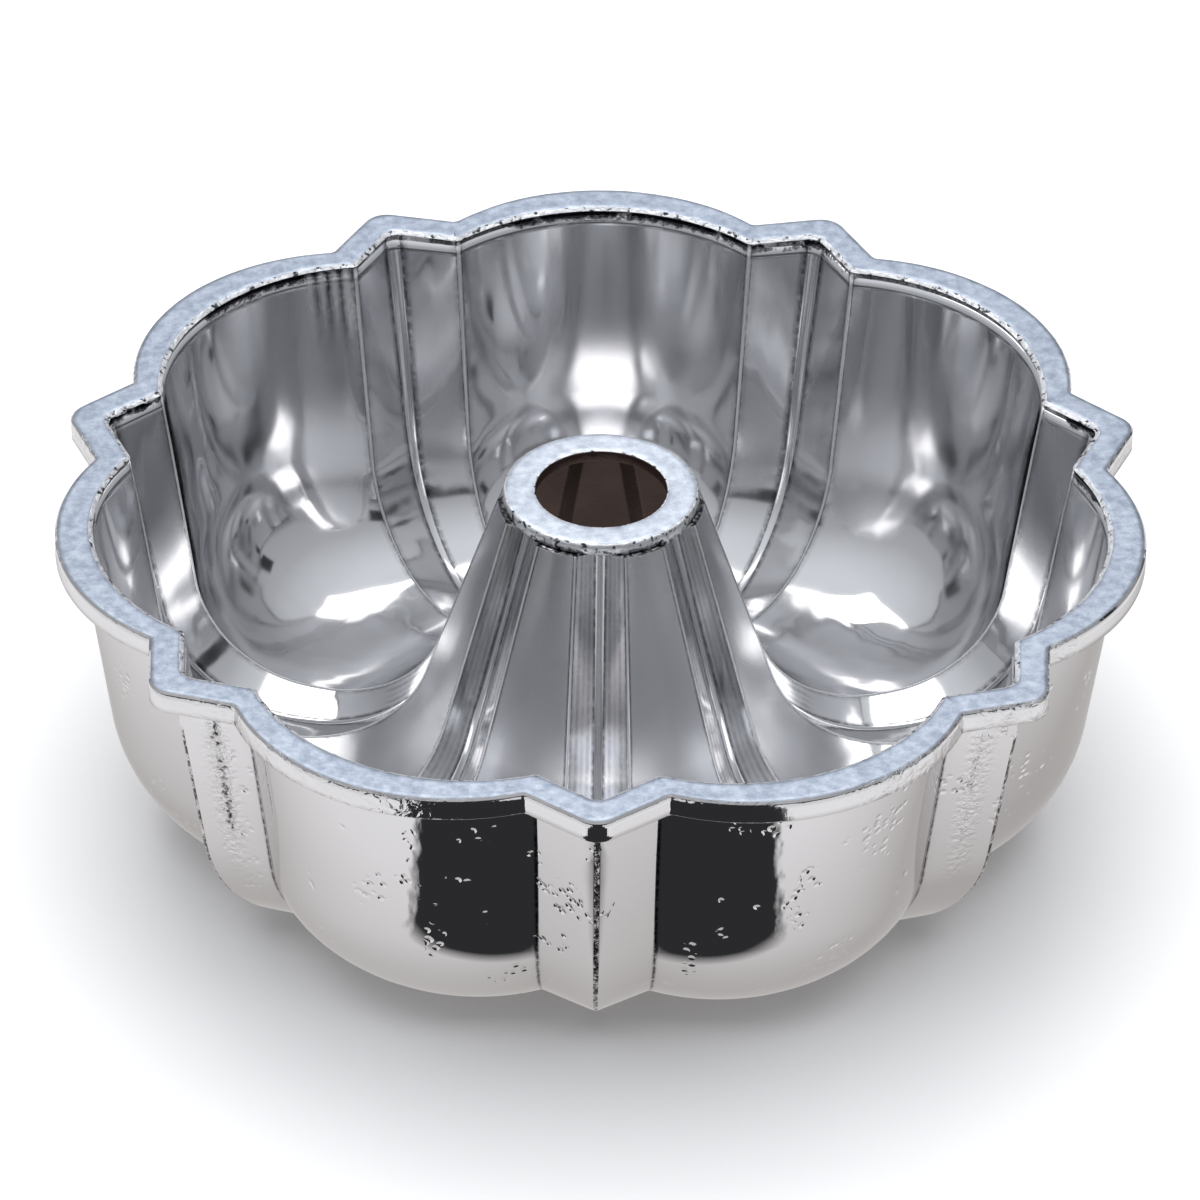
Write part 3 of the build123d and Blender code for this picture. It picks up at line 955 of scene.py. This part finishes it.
def softbox(name, azimuth, elevation, distance, size, radiance, colour="#FFFFFF"):
    """A rectangular lamp that faces the pan. Its power is its radiance times pi times its area."""
    light = bpy.data.lights.new(name, "AREA")
    light.shape = "RECTANGLE"
    light.size, light.size_y = size
    light.energy = radiance * np.pi * size[0] * size[1]
    light.color = linear(colour)[:3]
    lamp = bpy.data.objects.new(name, light)
    bpy.context.collection.objects.link(lamp)
    position = Vector(direction(azimuth, elevation)) * distance
    facing = position.to_track_quat("Z", "Y").to_matrix().to_4x4()
    lamp.matrix_world = Matrix.Translation(position) @ facing
    return lamp


softbox("window", 97, 60, 1.6, (1.25, 0.85), 2.2, "#FFFDFA")
softbox("sky", 90, 30, 1.9, (0.7, 0.75), 1.0, "#EBF0F9")
softbox("low_window", 90, 12, 1.9, (1.5, 0.5), 0.55, "#FFF8F5")
fill = softbox("floor_light", -90, 88, 2.6, (3.2, 3.2), 1.75)
fill.visible_glossy = False


# ------------------------------------------------------------------------------ cards
# What the polished metal reflects, on cards that only reflections see: the table top, a dark
# camera, a dark flag on the right, and a dark wedge in front.


def glossy_card(name, corners, shader_of):
    """A four-cornered stage card that only reflections see."""
    mesh = bpy.data.meshes.new(name)
    mesh.from_pydata(corners, [], [(0, 1, 2, 3)])
    card = bpy.data.objects.new(name, mesh)
    bpy.context.collection.objects.link(card)
    material, tree = blank_material(name)
    add(tree, "ShaderNodeOutputMaterial", {"Surface": shader_of(tree).outputs[0]})
    mesh.materials.append(material)
    for ray in ("visible_camera", "visible_diffuse", "visible_shadow", "visible_transmission"):
        setattr(card, ray, False)


def table_light(tree):
    """Dim and warm at the pan's foot, brightest some 0.26 m from a point behind its axis."""
    place = add(tree, "ShaderNodeTexCoord")
    away = add(tree, "ShaderNodeVectorMath", {0: place.outputs["Object"]}, operation="DISTANCE")
    away.inputs[1].default_value = (0.015, 0.055, 0)
    out = add(tree, "ShaderNodeMapRange", {"Value": away.outputs["Value"]}, From_Min=0.0, From_Max=0.4)
    glow = add(tree, "ShaderNodeValToRGB", {"Fac": out.outputs["Result"]})
    stops = [
        (0.0, (0.40, 0.39, 0.38)), (0.38, (0.58, 0.565, 0.555)), (0.46, (0.82, 0.81, 0.82)),
        (0.54, (1.04, 1.04, 1.06)), (0.66, (1.15, 1.17, 1.20)), (1.0, (0.95, 0.97, 1.0)),
    ]
    set_stops(glow.color_ramp, stops)
    return add(tree, "ShaderNodeEmission", {"Color": glow.outputs["Color"]}, Strength=1.0)


glossy_card("table", level_square(3.9, -0.2 * MM), table_light)


def dark(tree):
    """Nearly black."""
    return add(tree, "ShaderNodeEmission", Color=(0.035, 0.036, 0.04, 1), Strength=1.0)


def facing_card(name, azimuth, elevation, distance, width, height):
    """A dark card that faces the pan from a direction, sizes in metres."""
    centre = direction(azimuth, elevation) * distance
    turn = np.radians(azimuth)
    side = np.array([-np.sin(turn), np.cos(turn), 0]) * width / 2
    rise = np.cross(centre / distance, side / np.linalg.norm(side)) * height / 2
    corners = [centre - side - rise, centre + side - rise, centre + side + rise, centre - side + rise]
    glossy_card(name, [tuple(c) for c in corners], dark)


facing_card("camera_card", -86, 37, 1.3, 0.46, 0.26)
facing_card("right_flag", 11, 29, 1.3, 0.20, 0.22)


def soft_dark(tree):
    """Dark in a wedge that widens away from the pan, fading over its torn, uneven edges."""
    place = add(tree, "ShaderNodeTexCoord")
    axes = add(tree, "ShaderNodeSeparateXYZ", {"Vector": place.outputs["Object"]})
    aside = add(tree, "ShaderNodeMath", {0: axes.outputs["X"]}, operation="ABSOLUTE")
    ahead = add(tree, "ShaderNodeMath", {0: axes.outputs["Y"]}, operation="MULTIPLY")
    ahead.inputs[1].default_value = -1
    torn = add(
        tree, "ShaderNodeTexNoise", {"Vector": place.outputs["Object"]},
        Scale=1 / (4 * MM), Detail=3.0,
    )
    width = add(
        tree, "ShaderNodeMapRange", {"Value": ahead.outputs["Value"]},
        From_Min=0.13, From_Max=0.42, To_Min=0.059, To_Max=0.128,
    )
    within = add(
        tree, "ShaderNodeMath", {0: width.outputs["Result"], 1: aside.outputs["Value"]},
        operation="SUBTRACT",
    )
    uneven = add(
        tree, "ShaderNodeMath", {0: torn.outputs["Fac"], 2: within.outputs["Value"]},
        operation="MULTIPLY_ADD",
    )
    uneven.inputs[1].default_value = 14 * MM
    sides = add(
        tree, "ShaderNodeMapRange", {"Value": uneven.outputs["Value"]},
        From_Min=5 * MM, From_Max=11 * MM,
    )
    slanted = add(
        tree, "ShaderNodeMath", {0: aside.outputs["Value"], 2: ahead.outputs["Value"]},
        operation="MULTIPLY_ADD",
    )
    slanted.inputs[1].default_value = -0.20
    start = add(
        tree, "ShaderNodeMapRange", {"Value": slanted.outputs["Value"]},
        From_Min=0.114, From_Max=0.122,
    )
    mask = add(
        tree, "ShaderNodeMath", {0: sides.outputs["Result"], 1: start.outputs["Result"]},
        operation="MULTIPLY",
    )
    clear = add(tree, "ShaderNodeBsdfTransparent")
    return add(
        tree, "ShaderNodeMixShader",
        {0: mask.outputs["Value"], 1: clear.outputs["BSDF"], 2: dark(tree).outputs["Emission"]},
    )


# The wedge lies on the table in front of the pan, and a second card carries it on upwards, away
# from the pan.
glossy_card(
    "black_card",
    [(-0.15, -0.44, 0.001), (0.15, -0.44, 0.001), (0.15, -0.11, 0.001), (-0.15, -0.11, 0.001)],
    soft_dark,
)
glossy_card(
    "black_card_far",
    [(-0.128, -0.44, 0.001), (0.128, -0.44, 0.001), (0.17, -0.70, 0.18), (-0.17, -0.70, 0.18)],
    dark,
)


# ------------------------------------------------------------------------------ finish
# Colours are shown as they are, without a film look.

bpy.context.scene.view_settings.view_transform = "Standard"
